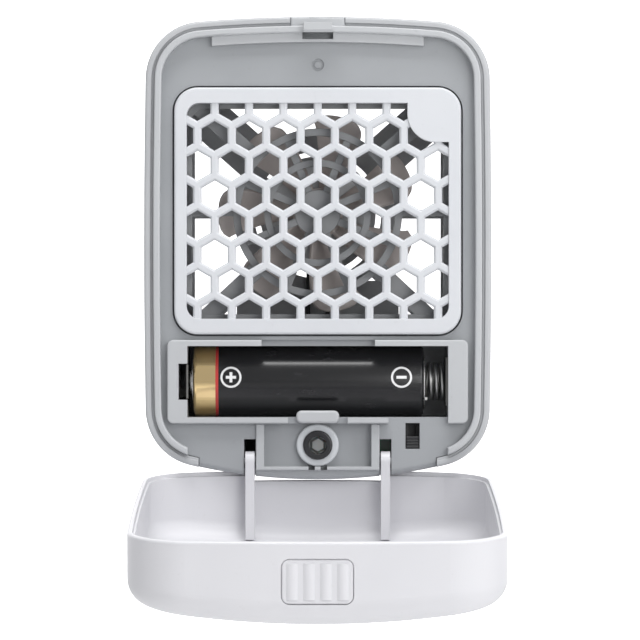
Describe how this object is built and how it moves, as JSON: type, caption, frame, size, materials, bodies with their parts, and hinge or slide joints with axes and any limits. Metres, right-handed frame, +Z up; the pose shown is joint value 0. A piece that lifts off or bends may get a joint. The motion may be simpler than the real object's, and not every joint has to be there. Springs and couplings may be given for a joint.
{
  "type": "fan air freshener",
  "caption": "Wall-hung battery fan air freshener: a case with fan, honeycomb scent refill and cell bay, and a slotted cover that hangs open on its lower hinge.",
  "frame": {"origin": "centre of the case's flat back, where it meets the wall", "axes": "+Z up along the wall, +Y into the wall, the deck with fan and cell faces -Y, +X to the viewer's right"},
  "size_m": [0.0718, 0.1121, 0.1186],
  "materials": {
    "white_shell": "fine matte moulded texture, white",
    "deck_white": "smooth satin moulded plastic, white",
    "guard_grey": "matte moulded plastic, mid grey",
    "refill_white": "slightly translucent white polymer, satin",
    "blade_beige": "matte moulded plastic, warm beige",
    "zinc_steel": "zinc plated, dull",
    "cap_black": "matte black nylon",
    "ferrite": "dark sintered ferrite",
    "lamination_steel": "bare stacked steel",
    "copper": "bright copper",
    "bronze": "sintered bronze",
    "cell_black": "glossy black printed sleeve over a metal can, gold band at one end",
    "nickel": "nickel plated steel, satin",
    "spring_steel": "drawn nickel plated wire and strip",
    "board_green": "green lacquered glass laminate",
    "chip_black": "matte moulded epoxy",
    "can_aluminium": "drawn aluminium can",
    "screw_steel": "zinc plated",
    "switch_black": "satin black plastic",
    "lamp_clear": "clear diffused epoxy, glossy",
    "holder_black": "glossy black plastic",
    "red_wire": "red insulation",
    "black_wire": "black insulation"
  },
  "bodies": {
    "case": {"rear_housing": "white_shell", "motor_bracket": "white_shell", "front_deck": "deck_white", "fan_guard": "guard_grey", "case_screws": "screw_steel", "hinge_pins": "deck_white", "motor_can": "zinc_steel", "motor_end_cap": "cap_black", "motor_magnets": "ferrite", "motor_brushes": "copper", "motor_bushes": "bronze", "motor_terminals": "copper", "cell_jacket": "cell_black", "cell_positive_cap": "nickel", "cell_negative_cap": "nickel", "positive_contact": "spring_steel", "negative_contact": "spring_steel", "negative_spring": "spring_steel", "circuit_board": "board_green", "driver_chip": "chip_black", "storage_capacitor": "can_aluminium", "board_screws": "screw_steel", "switch_body": "switch_black", "status_lamp": "lamp_clear", "lamp_holder": "holder_black", "lamp_collar": "deck_white", "positive_lead": "red_wire", "negative_lead": "black_wire", "motor_leads": "black_wire"},
    "cover": {"front_cover": "white_shell", "latch_spring": "spring_steel"},
    "latch": {"latch_button": "white_shell"},
    "refill": {"refill_honeycomb": "refill_white"},
    "fan": {"fan_rotor": "blade_beige", "motor_shaft": "zinc_steel", "armature_core": "lamination_steel", "armature_windings": "copper", "commutator": "copper"},
    "knob": {"switch_knob": "switch_black"}
  },
  "joints": [
    {"name": "cover_hinge", "type": "hinge", "parent": "case", "child": "cover", "pos_m": [0, -0.0216, -0.0445], "axis": [1, 0, 0], "range_deg": [-95.95, 0]},
    {"name": "latch_press", "type": "slide", "parent": "cover", "child": "latch", "axis": [0, 0.9946, 0.1037], "range_m": [0, 0.00065], "stiffness_N_per_m": 600, "springref_m": -0.001, "deforming": ["latch_spring"]},
    {"name": "refill_lift", "type": "slide", "parent": "case", "child": "refill", "axis": [0, -1, 0], "range_m": [0, 0.006]},
    {"name": "fan_spin", "type": "hinge", "parent": "case", "child": "fan", "pos_m": [0, 0, 0.0064], "axis": [0, 1, 0], "continuous": true},
    {"name": "switch_slide", "type": "slide", "parent": "case", "child": "knob", "axis": [0, 0, 1], "range_m": [0, 0.0024]}
  ]
}
